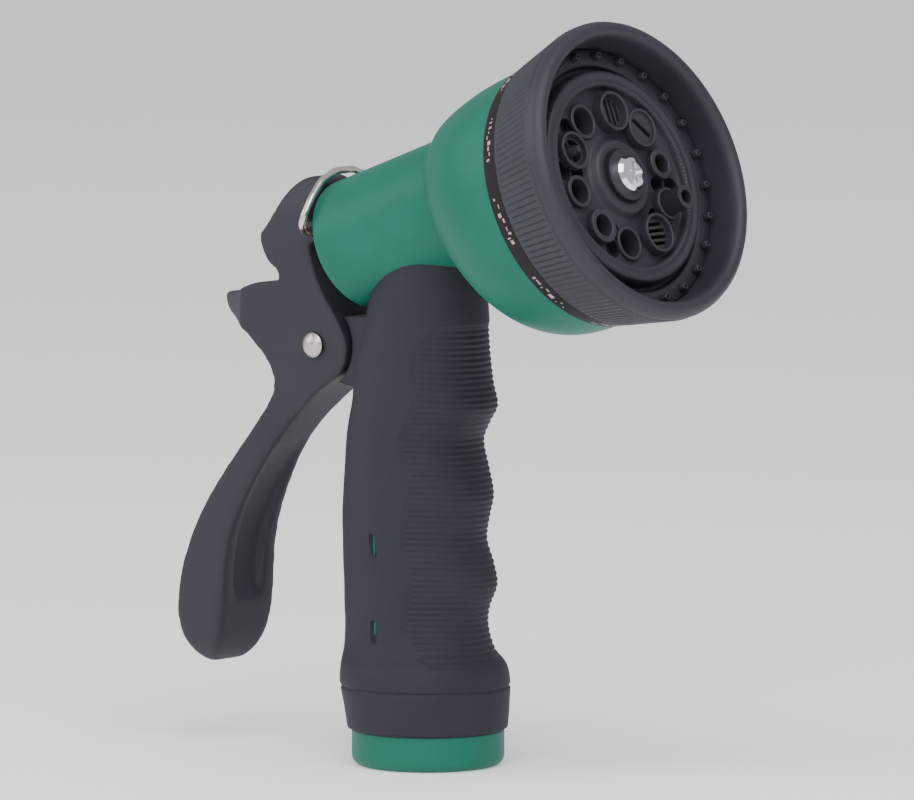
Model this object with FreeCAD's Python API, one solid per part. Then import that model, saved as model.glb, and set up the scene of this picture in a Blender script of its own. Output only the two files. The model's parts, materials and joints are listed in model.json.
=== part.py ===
import FreeCAD, Part
import os
from math import sin, cos, tan, radians, sqrt, pi

# Pistol-grip hose spray nozzle with a rear trigger and a turning pattern dial, in millimetres.
# Frame: the origin is the centre of the hose inlet's mouth, +Z runs up the handle, +X is the way
# the water leaves and +Y is to the left of someone holding the nozzle.
# The barrel leans up and forward. Its parts are made in "barrel coordinates": x along the barrel
# from the centre of its rear rim, z across it and upwards, y as in the main frame.

Vector = FreeCAD.Vector
X_AXIS = Vector(1, 0, 0)
Y_AXIS = Vector(0, 1, 0)

# ---- driving dimensions ---------------------------------------------------------------------
barrel_tilt = 20.5                       # degrees above horizontal
rear_rim = Vector(-20.0, 0, 111.2)       # centre of the barrel's rear rim
barrel_radius = 14.4
barrel_length = 36.5                     # rear rim to the neck where the bell begins
chamber_radius = 10.5                    # bore of the valve chamber
bell_front = 62.9
bell_radius = 29.0
bell_wall = 2.6
dial_drop = 8.1                          # dial axis below the barrel axis
outlet_circle = 14.5                     # radius of the ring of outlets
outlet_count = 10
outlet_start = 10.0                      # degrees from the top to the first outlet
screw_circle = 21.8                      # manifold screws
detent_circle = 21.6

inlet_radius = 16.5                      # outside of the green inlet ring
inlet_visible = 7.6                      # height of the ring below the grip
hose_thread_radius = 13.6                # 3/4 inch garden hose thread, female, major radius
hose_thread_depth = 9.5
washer_seat = 12.1                       # top of the hose washer's pocket
washer_radius = 13.2
waterway_radius = 6.5

core_half_length = 13.4                  # plastic core inside the grip, along X
core_half_width = 10.6                   # and along Y

pivot = Vector(-25.3, 0, 89.9)           # trigger pin
pin_radius = 2.0
lever_half_width = 8.4
lug_half_width = 3.2
ear_radius = 9.0                         # lever's round ears about the pin
running_gap = 0.05                       # radial, shafts in their bores
body_gap = 0.4                           # between pieces that pass each other

rod_radius = 2.2
gland_front = 9.0
seat_rear = 26.6                         # plane where the valve closes
seat_front = 31.0
poppet_radius = 7.6
poppet_thickness = 3.0
washer_thickness = 2.0
knob_rear = -15.4
knob_front = -8.5
knob_radius = 5.2
nose_radius = 3.6                        # dome on the knob's front that the lever pushes
nose_length = 2.4
clip_wire = 0.8                          # radius of the bail's wire
clip_x = -4.3                            # the bail's pivot, in barrel coordinates
clip_z = 5.0

manifold_rear = 56.0
manifold_front = 60.4
back_plate_rear = 60.8
back_plate_front = 63.8
band_rear = 63.3
band_bore = 27.0
grip_rear = 67.4
knurl_front = 78.8
dial_front = 82.6
rim_radius = 33.0
face_rear = 69.5
channel_floor = 72.8                     # bottom of the groove round the island
ledge_front = 74.4                       # shelf outside the groove, with the shower nipples
ledge_bore = 25.4
island_front = 76.6
recess_floor = 74.3
island_radius = 23.5
recess_radius = 19.6
ring_bore = 28.9
hub_front = 76.4
post_radius = 4.95

barrel_placement = FreeCAD.Placement(rear_rim, FreeCAD.Rotation(Y_AXIS, -barrel_tilt))


# ---- general helpers ------------------------------------------------------------------------
def to_barrel(point):
    """Barrel coordinates of a point of the main frame."""
    return barrel_placement.inverse().multVec(point)


def placed(shape):
    """A shape made in barrel coordinates, moved to its place in the main frame."""
    return shape.transformed(barrel_placement.toMatrix(), True)


def turned(profile, drop=0.0):
    """Solid of revolution about the barrel's x direction, from (x, radius) corners."""
    corners = [Vector(x, 0, radius) for x, radius in profile]
    face = Part.Face(Part.makePolygon(corners + corners[:1]))
    solid = face.revolve(Vector(0, 0, 0), X_AXIS, 360)
    solid.translate(Vector(0, 0, -drop))
    return solid


def rod_x(radius, start, end, y=0.0, z=0.0):
    return Part.makeCylinder(radius, end - start, Vector(start, y, z), X_AXIS)


def tube_x(outer, inner, start, end, y=0.0, z=0.0):
    return rod_x(outer, start, end, y, z).cut(rod_x(inner, start - 1, end + 1, y, z))


def rod_y(radius, half_length, x, z):
    return Part.makeCylinder(radius, 2 * half_length, Vector(x, -half_length, z), Y_AXIS)


def box_between(low, high):
    size = Vector(*high).sub(Vector(*low))
    return Part.makeBox(size.x, size.y, size.z, Vector(*low))


def ring_about_x(major, minor, x, drop=0.0):
    return Part.makeTorus(major, minor, Vector(x, 0, -drop), X_AXIS)


def coil_spring(radius, wire, start, end, turns, y=0.0, z=0.0):
    """Compression spring along x: eight-sided wire in straight stretches round a helix."""
    stretches = round(turns * 12)
    sections = []
    for i in range(stretches + 1):
        turn = 2 * pi * turns * i / stretches
        x = start + wire + (end - start - 2 * wire) * i / stretches
        outward = Vector(0, sin(turn), cos(turn))
        centre = Vector(x, y, z) + outward * radius
        corners = []
        for k in range(8):
            around = 2 * pi * k / 8
            corners.append(centre + X_AXIS * (wire * cos(around)) + outward * (wire * sin(around)))
        sections.append(Part.makePolygon(corners + corners[:1]))
    return Part.makeLoft(sections, True, True)


def outline_plate(outline, half_width):
    """Plate that fills a closed XZ outline, an edge or a list of edges, from -y to +y."""
    face = Part.Face(Part.Wire(outline))
    face.translate(Vector(0, -half_width, 0))
    return face.extrude(Vector(0, 2 * half_width, 0))


def closed_curve(points):
    """Smooth closed curve in the XZ plane through the points."""
    curve = Part.BSplineCurve()
    curve.interpolate([Vector(x, 0, z) for x, z in points], PeriodicFlag=True)
    return [curve.toShape()]


def ellipse_wire(centre_x, half_length, half_width, z):
    """Level oval section of the handle, its seam at the rear."""
    samples = 24
    points = []
    for i in range(samples):
        turn = 2 * pi * i / samples
        x = centre_x - half_length * cos(turn)
        points.append(Vector(x, half_width * sin(turn), z))
    curve = Part.BSplineCurve()
    curve.interpolate(points, PeriodicFlag=True)
    return Part.Wire(curve.toShape())


def column(sections):
    """Smooth column through (z, centre_x, half_length, half_width) oval sections."""
    wires = [ellipse_wire(x, a, b, z) for z, x, a, b in sections]
    return Part.makeLoft(wires, True, False)


def outlet_place(index):
    """y and z of an outlet on the dial, in barrel coordinates, counted from the top."""
    turn = radians(outlet_start + 360 * index / outlet_count)
    return outlet_circle * sin(turn), outlet_circle * cos(turn) - dial_drop


def save(node, shape):
    solids = shape.Solids
    result = solids[0] if len(solids) == 1 else Part.makeCompound(solids)
    result.exportStep("parts/" + node + ".step")


# ---- body -----------------------------------------------------------------------------------
def bell_opening(t):
    """How far the bell has opened, 0 to 1, a fraction t of the way to its front."""
    return (1 - (1 - t) ** 2.8) ** (1 / 1.45)


def bell_sink(t):
    """How far its centre has dropped to the dial's axis, 0 to 1."""
    return 1 - (1 - t) ** 4


def bell_solid(inset, first, last):
    """Loft of circles whose radius grows and whose centre drops to the dial axis."""
    wires = []
    steps = 9
    for i in range(steps + 1):
        t = (i / steps) ** 1.6
        x = first + (last - first) * t
        radius = barrel_radius + (bell_radius - barrel_radius) * bell_opening(t) - inset
        centre = Vector(x, 0, -dial_drop * bell_sink(t))
        wires.append(Part.Wire(Part.makeCircle(radius, centre, X_AXIS)))
    return Part.makeLoft(wires, True, False)


def barrel_outside():
    barrel = rod_x(barrel_radius, 0, barrel_length + 1)
    rear_edges = [e for e in barrel.Edges if e.BoundBox.XMax < 0.1]
    barrel = barrel.makeFillet(1.2, rear_edges)
    neck = ring_about_x(barrel_radius - 0.9, 1.6, barrel_length)
    return barrel.fuse([neck, bell_solid(0, barrel_length, bell_front)])


def pivot_lug():
    """Tongue that carries the trigger pin behind the handle."""
    head = rod_y(5.6, lug_half_width, pivot.x, pivot.z)
    web = box_between((pivot.x, -lug_half_width, pivot.z - 5.6),
                      (pivot.x + 16, lug_half_width, pivot.z + 3.0))
    return head.fuse(web)


def core_column():
    base = Part.makeCylinder(inlet_radius, inlet_visible, Vector(0, 0, 0))
    base = base.makeFillet(2.3, [e for e in base.Edges if e.BoundBox.ZMax < 0.1])
    cup = Part.makeCone(15.6, 15.2, 14.0 - inlet_visible, Vector(0, 0, inlet_visible))
    shaft = column([
        (13.0, -0.8, 15.0, 14.6),
        (24.0, -2.6, 14.2, 11.9),
        (40.0, -3.0, core_half_length, core_half_width),
        (70.0, -3.2, core_half_length - 0.6, core_half_width),
        (92.0, -2.8, core_half_length - 2.0, core_half_width - 1.4),
        (110.0, -1.0, core_half_length - 4.0, core_half_width - 3.0)])
    return base.fuse([cup, shaft])


def valve_bores():
    """Everything cut along the barrel axis: valve chamber, seat shoulder and bell cavity."""
    chamber = rod_x(chamber_radius, -1, seat_front)
    passage = rod_x(6.5, seat_front - 1, 46)
    cavity = bell_solid(bell_wall, 40.0, bell_front + 0.01)
    mouth = rod_x(bell_radius - bell_wall, 54.0, bell_front + 1, 0, -dial_drop)
    return [placed(s) for s in (chamber, passage, cavity, mouth)]


def screw_bosses():
    """Three pillars in the bell that take the manifold's screws."""
    pillars = []
    for y, z in screw_places():
        pillar = rod_x(3.0, 47.0, manifold_rear, y, z).cut(rod_x(1.0, 50.0, 57.0, y, z))
        pillars.append(placed(pillar))
    return pillars


def waterway():
    return column([
        (washer_seat - 0.01, 0, waterway_radius, waterway_radius),
        (30.0, -1.6, waterway_radius, waterway_radius),
        (60.0, -3.0, waterway_radius, waterway_radius),
        (108.0, -3.0, waterway_radius, waterway_radius)])


def nozzle_body():
    """Barrel and bell in one moulding."""
    solid = placed(barrel_outside()).cut(valve_bores() + [waterway()])
    within_bell = placed(bell_solid(bell_wall - 0.4, barrel_length, bell_front))
    return solid.fuse([p.common(within_bell) for p in screw_bosses()])


def handle_core():
    """Stiff handle that joins the barrel: inlet ring, waterway and the trigger's lug."""
    solid = core_column().fuse(pivot_lug())
    inlet = Part.makeCylinder(hose_thread_radius, hose_thread_depth)
    washer_pocket = Part.makeCylinder(washer_radius, washer_seat)
    pin_hole = rod_y(pin_radius, 20, pivot.x, pivot.z)
    solid = solid.cut([placed(barrel_outside()), waterway(), inlet, washer_pocket, pin_hole])
    return max(solid.Solids, key=lambda piece: piece.Volume)


def grip_outside():
    return column([
        (18.0, -0.9, 18.5, 18.3),
        (21.5, -1.2, 18.3, 17.6),
        (25.5, -2.3, 17.2, 15.2),
        (30.5, -3.0, 16.6, 14.2),
        (34.5, -2.9, 17.1, 14.0),
        (39.5, -1.9, 18.4, 14.0),
        (44.0, -2.5, 18.0, 14.0),
        (49.0, -3.5, 16.9, 14.0),
        (54.0, -3.2, 17.4, 14.0),
        (59.0, -2.5, 17.9, 14.0),
        (64.5, -2.9, 16.9, 14.0),
        (70.5, -3.4, 15.7, 14.0),
        (74.5, -2.2, 16.4, 13.9),
        (78.2, -0.7, 17.2, 13.8),
        (83.0, -1.0, 16.4, 13.4),
        (90.0, -0.8, 15.4, 12.6),
        (98.0, 0.0, 14.2, 11.6),
        (108.0, 0.8, 12.8, 10.4),
        (114.0, 1.0, 12.0, 10.0)])


def grip_sleeve():
    """Soft sleeve moulded over the handle, up to the underside of the barrel and bell."""
    collar = Part.makeCone(17.3, 18.4, 18.0 - inlet_visible, Vector(0, 0, inlet_visible))
    collar.rotate(Vector(0, 0, inlet_visible), Y_AXIS, -2.0)
    sleeve = grip_outside().fuse(collar)
    below = box_between((-30, -30, 0), (30, 30, inlet_visible))
    head = placed(barrel_outside().fuse(rod_x(barrel_radius, -2, 2)))
    above = placed(box_between((-30, -30, 0), (80, 30, 40)))
    shoulder = box_between((pivot.x + 4, -6.8, pivot.z - 7.8), (0, 6.8, pivot.z + 6.8))
    sleeve = sleeve.fuse(shoulder)
    relief = rod_y(ear_radius + body_gap + 0.2, 20, pivot.x, pivot.z)
    lug_room = pivot_lug()
    sleeve = sleeve.cut([core_column(), below, head, above, relief, lug_room])
    return max(sleeve.Solids, key=lambda s: s.Volume)


def hose_washer():
    height = washer_seat - hose_thread_depth
    ring = Part.makeCylinder(washer_radius, height, Vector(0, 0, hose_thread_depth))
    return ring.cut(Part.makeCylinder(8.0, height + 2, Vector(0, 0, hose_thread_depth - 1)))


# ---- valve ----------------------------------------------------------------------------------
def valve_seat():
    ring = tube_x(chamber_radius, 5.0, seat_rear + 0.8, seat_front)
    lip = tube_x(6.4, 5.0, seat_rear + 0.05, seat_rear + 1.0)
    return placed(ring.fuse(lip))


def gland_nut():
    """Threaded plug behind the valve chamber; the rod slides through it."""
    plug = turned([(-1.3, rod_radius + running_gap), (-1.3, 7.2), (-0.5, 8.0), (-0.5, 9.6), (0, 10.4),
                   (gland_front, 10.4), (gland_front, rod_radius + running_gap)])
    groove = tube_x(4.2, rod_radius, 5.0, 7.0)
    slots = []
    for i in range(6):
        slot = box_between((-2, 6.2, -1.0), (-0.3, 8.2, 1.0))
        slot.rotate(Vector(0, 0, 0), X_AXIS, 60 * i)
        slots.append(slot)
    return placed(plug.cut([groove] + slots))


def rod_o_ring():
    minor = (4.2 - rod_radius - running_gap) / 2
    return placed(ring_about_x(rod_radius + running_gap + minor, minor, 6.0))


def valve_rod():
    rear_end = knob_rear - 1.0
    rod = turned([(rear_end, 0), (rear_end, rod_radius - 0.5), (rear_end + 0.5, rod_radius),
                  (23.0, rod_radius), (23.0, 1.5), (29.2, 1.5), (29.2, 0)])
    return placed(rod)


def valve_poppet():
    front = seat_rear - washer_thickness
    disc = turned([(front - poppet_thickness, 1.5), (front - poppet_thickness, 5.0),
                   (front - 1.6, poppet_radius), (front, poppet_radius), (front, 1.5)])
    return placed(disc.cut(rod_x(rod_radius, 0, 23.0)))


def poppet_washer():
    return placed(tube_x(poppet_radius - 0.3, 1.5, seat_rear - washer_thickness, seat_rear))


def poppet_nut():
    nut = turned([(seat_rear, 1.5), (seat_rear, 3.4), (28.6, 3.4), (29.0, 3.0), (29.0, 1.5)])
    return placed(nut)


def return_spring():
    rear_of_poppet = seat_rear - washer_thickness - poppet_thickness
    return placed(coil_spring(4.3, 0.45, gland_front, rear_of_poppet, 4))


def flow_knob():
    """Fluted thumb nut on the rod's rear end; the lever's web pushes its domed nose."""
    shoulder = knob_front - nose_length
    knob = turned([(knob_rear, rod_radius + running_gap), (knob_rear, knob_radius - 0.8),
                   (knob_rear + 0.8, knob_radius), (shoulder - 0.6, knob_radius),
                   (shoulder, knob_radius - 0.6), (shoulder, rod_radius + running_gap)])
    bore = rod_x(rod_radius + running_gap, knob_rear - 1, knob_front + 1)
    cap_depth = sqrt(nose_radius ** 2 - (rod_radius + running_gap) ** 2)
    nose = Part.makeSphere(nose_radius, Vector(knob_front - cap_depth, 0, 0))
    nose = nose.common(rod_x(nose_radius, shoulder - 0.5, knob_front + 1))
    knob = knob.fuse(nose).cut(bore)
    flutes = []
    for i in range(12):
        turn = 2 * pi * i / 12
        reach = knob_radius + 0.35
        flutes.append(rod_x(0.7, knob_rear - 1, knob_front, reach * sin(turn), reach * cos(turn)))
    return placed(knob.cut(flutes))


# ---- trigger --------------------------------------------------------------------------------
def lever_outline():
    """Side view of the trigger: head, thumb horn, waist, paddle and the ear about the pin."""
    return closed_curve([
        (-25.6, 125.0), (-29.2, 126.0), (-32.8, 124.4), (-36.2, 119.8), (-39.2, 115.0),
        (-40.6, 112.9), (-39.8, 109.8), (-37.8, 106.9), (-35.2, 104.9), (-35.0, 103.8),
        (-38.8, 102.8), (-44.5, 101.6), (-50.6, 99.8), (-56.0, 98.2), (-55.2, 96.6),
        (-49.6, 94.0), (-44.2, 90.6), (-40.4, 86.8), (-38.4, 83.2), (-38.4, 79.6),
        (-41.6, 74.6), (-47.2, 68.0), (-53.2, 60.2), (-58.6, 51.4), (-62.6, 41.8),
        (-64.6, 32.4), (-64.4, 25.4), (-62.0, 20.4), (-57.6, 18.0), (-54.2, 21.2),
        (-52.2, 26.8), (-51.2, 33.8), (-50.6, 41.6), (-48.2, 50.6), (-43.6, 59.6),
        (-37.6, 68.4), (-30.8, 75.4), (-23.8, 80.8), (-17.8, 85.2), (-16.4, 90.4),
        (-18.6, 95.6), (-22.4, 101.4), (-25.6, 107.8), (-27.2, 114.4), (-26.6, 120.4)])


def lever_front_view():
    """Widths seen along the barrel: full at the head and paddle, slimmer at the waist."""
    half = [(3.4, 17.0), (6.6, 20.0), (8.4, 24.6), (9.0, 31.0), (8.9, 40.0), (8.2, 50.0),
            (7.0, 60.0), (6.2, 69.0), (6.4, 77.0), (7.4, 84.0), (lever_half_width, 92.0),
            (lever_half_width, 114.0), (7.4, 120.0), (5.2, 124.5), (3.0, 128.0)]
    points = [Vector(-90, y, z) for y, z in half]
    right = Part.BSplineCurve()
    right.interpolate(points)
    left = Part.BSplineCurve()
    left.interpolate([Vector(p.x, -p.y, p.z) for p in points])
    top = Part.LineSegment(points[-1], Vector(-90, -points[-1].y, points[-1].z))
    bottom = Part.LineSegment(points[0], Vector(-90, -points[0].y, points[0].z))
    wire = Part.Wire([right.toShape(), top.toShape(), left.toShape(), bottom.toShape()])
    return Part.Face(wire).extrude(Vector(100, 0, 0))


def horn_plan():
    """Plan view that narrows the thumb horn to a rounded tip."""
    wide = 14.0
    corners = [Vector(0, -wide, 90), Vector(0, wide, 90), Vector(-38, wide, 90), Vector(-58.2, 0.5, 90),
               Vector(-58.2, -0.5, 90), Vector(-38, -wide, 90)]
    plan = Part.Face(Part.makePolygon(corners + corners[:1])).extrude(Vector(0, 0, 45))
    below = box_between((-90, -20, 0), (0, 20, 90.01))
    return plan.fuse(below)


def lever_pockets():
    """Rooms cut in the lever for the flow knob, the rod, the lug and the paddle's hollow front."""
    web_rear = knob_front + 0.1
    knob_room = placed(box_between((knob_rear - 2.8, -5.9, -6.4), (web_rear, 5.9, 8.8)))
    rear_opening = placed(box_between((-25, -5.9, -0.5), (knob_rear - 2.7, 5.9, 8.8)))
    rod_slot = placed(box_between((knob_rear, -2.9, -4.6), (10, 2.9, 3.4)))
    lug_slot = rod_y(6.6, lug_half_width + 0.3, pivot.x, pivot.z)
    reach = 16.0
    swept = []
    for angle in (0, 7, 14, 21):
        bar = box_between((0, -lug_half_width - 0.3, -6.2), (reach, lug_half_width + 0.3, 6.2))
        bar.rotate(Vector(0, 0, 0), Y_AXIS, angle)
        bar.translate(pivot)
        swept.append(bar)
    gland_room = placed(rod_x(8.6, -2.2, 10))
    pin_bore = rod_y(pin_radius + running_gap, 20, pivot.x, pivot.z)
    return [knob_room, rear_opening, rod_slot, lug_slot, gland_room, pin_bore] + swept


def paddle_hollow():
    hollow = closed_curve([
        (-50.4, 30.0), (-53.0, 36.0), (-52.8, 43.0), (-49.6, 52.0), (-44.4, 60.6), (-38.4, 67.6),
        (-33.6, 71.0), (-30.0, 66.0), (-36.0, 50.0), (-42.0, 36.0), (-46.0, 28.5)])
    return outline_plate(hollow, 4.4)


def clip_bosses():
    """Round eyes on the lever's head that hold the ends of the wire clip."""
    at = clip_pivot()
    eyes = []
    for side in (-7.1, 7.1):
        eyes.append(Part.makeCylinder(2.3, 2.6, Vector(at.x, side - 1.3, at.z), Y_AXIS))
    return eyes


def trigger_lever():
    solid = outline_plate(lever_outline(), 12).common(lever_front_view()).common(horn_plan())
    solid = solid.fuse(clip_bosses())
    at = clip_pivot()
    clip_hole = rod_y(clip_wire + running_gap, 20, at.x, at.z)
    solid = solid.cut(lever_pockets() + [paddle_hollow(), clip_hole])
    return max(solid.Solids, key=lambda s: s.Volume)


def trigger_pin():
    """Headed pin, pressed in the lug; the lever turns on it."""
    reach = lever_half_width + 0.25
    shank = rod_y(pin_radius, reach + 1.6, pivot.x, pivot.z)
    shank = shank.cut(box_between((-60, -20, 60), (0, -reach, 120)))
    dome = Part.makeSphere(3.4, Vector(pivot.x, -reach + 1.9, pivot.z))
    dome = dome.common(Part.makeCylinder(2.7, 4, Vector(pivot.x, -reach - 4, pivot.z), Y_AXIS))
    return shank.fuse(dome)


def pin_clip():
    """Push-on retaining washer on the pin's plain end."""
    start = lever_half_width + 0.3
    washer = Part.makeCylinder(3.6, 0.9, Vector(pivot.x, start, pivot.z), Y_AXIS)
    washer = washer.cut(rod_y(pin_radius, 20, pivot.x, pivot.z))
    return washer


# ---- wire clip that holds the trigger open ----------------------------------------------------
def clip_pivot():
    return barrel_placement.multVec(Vector(clip_x, 0, clip_z))


def rounded_path(points, radius):
    """Straight runs through the points, joined by tangent arcs of about the radius."""
    edges = []
    start = points[0]
    for i in range(1, len(points) - 1):
        back = points[i - 1].sub(points[i]).normalize()
        ahead = points[i + 1].sub(points[i]).normalize()
        half = back.getAngle(ahead) / 2
        run_back = points[i].distanceToPoint(points[i - 1])
        run_ahead = points[i].distanceToPoint(points[i + 1])
        longest = 0.45 * min(run_back, run_ahead)
        trim = min(radius / tan(half), longest)
        first = points[i].add(Vector(back).multiply(trim))
        last = points[i].add(Vector(ahead).multiply(trim))
        inward = Vector(back).add(ahead).normalize()
        arc_radius = trim * tan(half)
        middle = points[i].add(inward.multiply(arc_radius / sin(half) - arc_radius))
        edges.append(Part.LineSegment(start, first).toShape())
        edges.append(Part.Arc(first, middle, last).toShape())
        start = last
    edges.append(Part.LineSegment(start, points[-1]).toShape())
    return Part.Wire(edges)


def hold_clip():
    """Wire bail: an arch over the barrel's rear rim, its ends turned in to the lever's eyes."""
    half = [Vector(clip_x, 5.6, clip_z), Vector(clip_x, 10.6, clip_z), Vector(-0.7, 15.3, 6.4)]
    arch_steps = (50, 30, 10)
    for turn in arch_steps:
        along = 2.2 - 2.6 * (1 - cos(radians(turn)))
        half.append(Vector(along, 15.8 * sin(radians(turn)), 15.8 * cos(radians(turn)) + 0.9))
    mirrored = [Vector(p.x, -p.y, p.z) for p in reversed(half)]
    path = rounded_path(half + mirrored, 6.0)
    section = Part.Wire(Part.makeCircle(clip_wire, half[0], Y_AXIS))
    return placed(path.makePipeShell([section], True, False))


# ---- fixed parts in the bell ------------------------------------------------------------------
def outlet_manifold():
    """Plate across the bell: feeds the top outlet through one port, and carries the dial's post."""
    plate_radius = bell_radius - bell_wall - 0.05
    plate = turned([(manifold_rear, 0), (manifold_rear, plate_radius), (manifold_front, plate_radius),
                    (manifold_front, post_radius), (hub_front + 0.15, post_radius),
                    (hub_front + 0.15, 0)], dial_drop)
    port_y, port_z = outlet_place(0)
    socket = rod_x(7.4, 51.0, manifold_rear + 1, port_y, port_z)
    detent = rod_x(2.6, 53.4, manifold_rear + 1, *detent_place())
    solid = plate.fuse([socket, detent])
    cuts = [rod_x(3.0, 50.0, 62.0, port_y, port_z), rod_x(5.2, 53.0, 62.0, port_y, port_z),
            rod_x(1.75, 54.4, 62.0, *detent_place()), rod_x(1.5, 62.0, 80.0, 0, -dial_drop),
            tube_x(plate_radius + 1, plate_radius - 1.6, 57.4, 59.2, 0, -dial_drop),
            tube_x(post_radius + 1, post_radius - 1.3, 65.0, 66.8, 0, -dial_drop)]
    for y, z in screw_places():
        cuts.append(rod_x(1.5, 50.0, 62.0, y, z))
        cuts.append(rod_x(2.7, 58.6, 62.0, y, z))
    return placed(solid.cut(cuts))


def screw_places():
    turns = [radians(angle) for angle in (50, 170, 290)]
    return [(screw_circle * cos(t), screw_circle * sin(t) - dial_drop) for t in turns]


def dimple_place(index):
    """y and z of the detent dimple outside an outlet."""
    y, z = outlet_place(index)
    scale = detent_circle / outlet_circle
    return y * scale, (z + dial_drop) * scale - dial_drop


def detent_place():
    return dimple_place(outlet_count // 2)


def manifold_screws():
    screws = []
    for y, z in screw_places():
        head = rod_x(2.6, 58.6, 60.3, y, z)
        slot = box_between((59.7, y - 2.8, z - 0.4), (61, y + 2.8, z + 0.4))
        screws.append(placed(head.cut(slot).fuse(rod_x(1.0, 50.4, 58.6, y, z))))
    return Part.makeCompound(screws)


def manifold_o_ring():
    bore = bell_radius - bell_wall
    return placed(ring_about_x(bore - 0.85, 0.8, 58.3, dial_drop))


def post_o_ring():
    return placed(ring_about_x(post_radius - 0.65, 0.6, 65.9, dial_drop))


def outlet_seal():
    """Rubber tube pressed against the dial's back by its spring."""
    y, z = outlet_place(0)
    return placed(tube_x(5.1, 3.3, 57.2, back_plate_rear - 0.05, y, z))


def seal_spring():
    y, z = outlet_place(0)
    return placed(coil_spring(4.2, 0.45, 53.0, 57.2, 2.5, y, z))


def detent_spring():
    y, z = detent_place()
    return placed(coil_spring(1.2, 0.25, 54.4, 58.3, 4, y, z))


def detent_ball():
    y, z = detent_place()
    return placed(Part.makeSphere(1.65, Vector(60.0, y, z)))


def dial_washer():
    return placed(tube_x(5.6, 1.5, hub_front + 0.15, hub_front + 0.85, 0, -dial_drop))


def dial_screw():
    """Pan-head screw that keeps the dial on its post, with a cross recess."""
    start = hub_front + 0.85
    head = turned([(start, 0), (start, 3.9), (start + 1.1, 3.9), (start + 1.9, 3.2), (start + 2.4, 2.0),
                   (start + 2.5, 0)], dial_drop)
    recess = []
    for width, height in ((0.55, 2.3), (2.3, 0.55)):
        recess.append(box_between((start + 1.4, -width, -dial_drop - height),
                                  (start + 4, width, -dial_drop + height)))
    return placed(head.cut(recess).fuse(rod_x(1.5, 63.0, start, 0, -dial_drop)))


# ---- turning dial -----------------------------------------------------------------------------
def dial_back_plate():
    bore = post_radius + running_gap
    inside_bell = bell_radius - bell_wall - body_gap
    rim = band_bore - 0.02
    plate = turned([(back_plate_rear, bore), (back_plate_rear, inside_bell), (band_rear, inside_bell),
                    (band_rear, rim), (back_plate_front, rim), (back_plate_front, bore)], dial_drop)
    track = tube_x(detent_circle + 1.8, detent_circle - 1.8, back_plate_rear - 1, back_plate_rear + 1.1,
                   0, -dial_drop)
    tubes = []
    holes = [track]
    for index in range(outlet_count):
        y, z = outlet_place(index)
        tubes.append(rod_x(3.3, back_plate_front - 0.5, face_rear, y, z))
        holes.append(rod_x(2.2, back_plate_rear - 1, face_rear + 1, y, z))
        holes.append(Part.makeSphere(1.75, Vector(back_plate_rear + 0.5, *dimple_place(index))))
    return placed(plate.fuse(tubes).cut(holes))


def pattern_band():
    band = turned([(band_rear, band_bore), (band_rear, 29.3), (band_rear + 0.5, 29.6), (grip_rear, 30.0),
                   (grip_rear, band_bore)], dial_drop)
    return placed(band)


def fluted_cone(radius_a, radius_b, start, end, ribs, depth):
    """Tapered ring of shallow pointed ribs, for the fingers."""
    wires = []
    for x, radius in ((start, radius_a), (end, radius_b)):
        corners = []
        for i in range(2 * ribs):
            turn = pi * i / ribs
            reach = radius - (depth if i % 2 else 0)
            corners.append(Vector(x, reach * sin(turn), reach * cos(turn) - dial_drop))
        wires.append(Part.makePolygon(corners + corners[:1]))
    return Part.makeLoft(wires, True, True)


def dial_grip_ring():
    """Outer ring: knurled taper and smooth lip, with the front plate held in its bore."""
    knurl = fluted_cone(30.4, 33.0, grip_rear, knurl_front, 90, 0.4)
    lip = turned([(knurl_front - 0.5, 20), (knurl_front - 0.5, 32.9), (knurl_front + 0.8, rim_radius),
                  (knurl_front + 2.2, rim_radius - 0.1), (dial_front - 0.7, rim_radius - 0.8),
                  (dial_front, rim_radius - 1.6), (dial_front, ring_bore + 1.2), (dial_front - 0.6, 20)],
                 dial_drop)
    bore = turned([(grip_rear - 1, 0), (grip_rear - 1, ring_bore), (dial_front - 1.6, ring_bore + 0.2),
                   (dial_front - 0.4, ring_bore + 0.8), (dial_front + 1, ring_bore + 2.0),
                   (dial_front + 1, 0)], dial_drop)
    return placed(knurl.fuse(lip).cut(bore))


def spray_face():
    """Front plate: shelf with the shower nipples, groove, raised island, recess and hub."""
    face_radius = ring_bore - 0.05
    bore = post_radius + running_gap
    disc = turned([(face_rear, bore), (face_rear, face_radius), (ledge_front, face_radius),
                   (ledge_front, ledge_bore), (channel_floor, ledge_bore),
                   (channel_floor, island_radius + 0.2), (island_front - 0.6, island_radius),
                   (island_front, island_radius - 0.6), (island_front - 0.3, recess_radius + 0.4),
                   (recess_floor, recess_radius), (recess_floor, 8.2), (hub_front, 7.8),
                   (hub_front, bore)], dial_drop)
    extras = []
    holes = []
    for index, (outer, height) in enumerate(outlet_collars()):
        y, z = outlet_place(index)
        extras.append(rod_x(outer, face_rear, recess_floor + height, y, z))
        holes.append(rod_x(outlet_bore(index), face_rear - 1, 90, y, z))
    for i in range(24):
        turn = 2 * pi * (i + 0.5) / 24
        y = 27.2 * sin(turn)
        z = 27.2 * cos(turn) - dial_drop
        nipple = Part.makeCone(1.0, 0.7, 2.0, Vector(ledge_front - 0.2, y, z), X_AXIS)
        extras.append(nipple)
        holes.append(rod_x(0.35, face_rear - 1, 90, y, z))
    return placed(disc.fuse(extras).cut(holes))


def outlet_collars():
    """Outer radius and height above the recess floor of each outlet's collar, from the top."""
    return [(4.4, 2.6), (4.3, 2.3), (3.4, 1.5), (3.6, 1.8), (4.4, 2.4), (3.8, 0.8), (3.8, 1.8),
            (3.6, 1.2), (4.2, 1.8), (3.9, 0.8)]


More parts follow.
